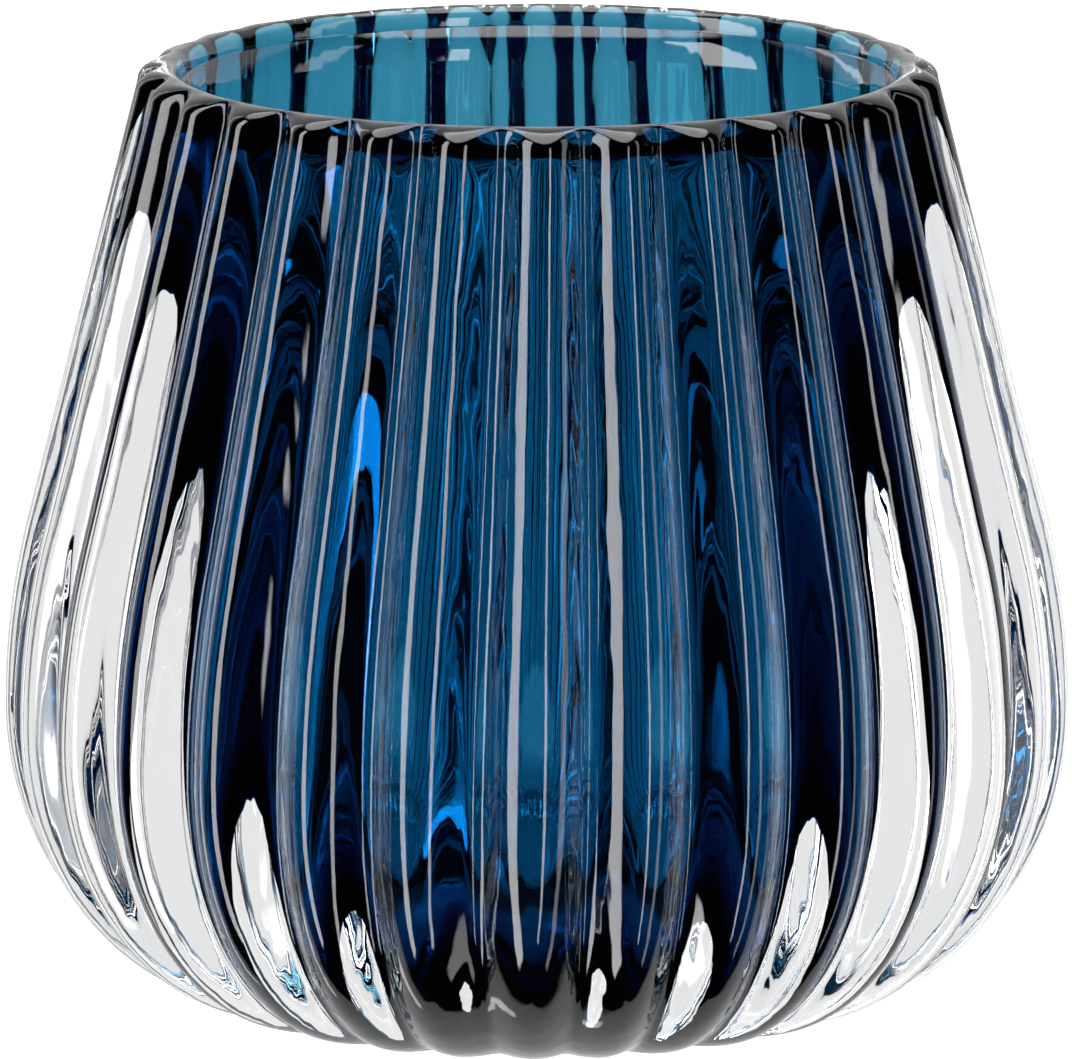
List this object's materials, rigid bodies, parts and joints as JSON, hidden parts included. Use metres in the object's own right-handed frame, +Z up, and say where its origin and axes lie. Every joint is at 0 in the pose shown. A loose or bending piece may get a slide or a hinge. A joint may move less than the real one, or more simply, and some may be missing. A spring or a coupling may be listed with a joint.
{
  "type": "ribbed glass vase",
  "caption": "Low ribbed glass vase with a wide round mouth, thick clear body and thin blue inner cup.",
  "frame": {"origin": "centre of the foot, on the plane that the vase stands on", "axes": "+Z up along the vase's axis, out of the mouth; X and Y in the foot plane"},
  "size_m": [0.0908, 0.0912, 0.08],
  "materials": {
    "clear_glass": "polished",
    "blue_glass": "polished"
  },
  "bodies": {
    "root": {"clear_body": "clear_glass", "blue_liner": "blue_glass"}
  },
  "joints": []
}
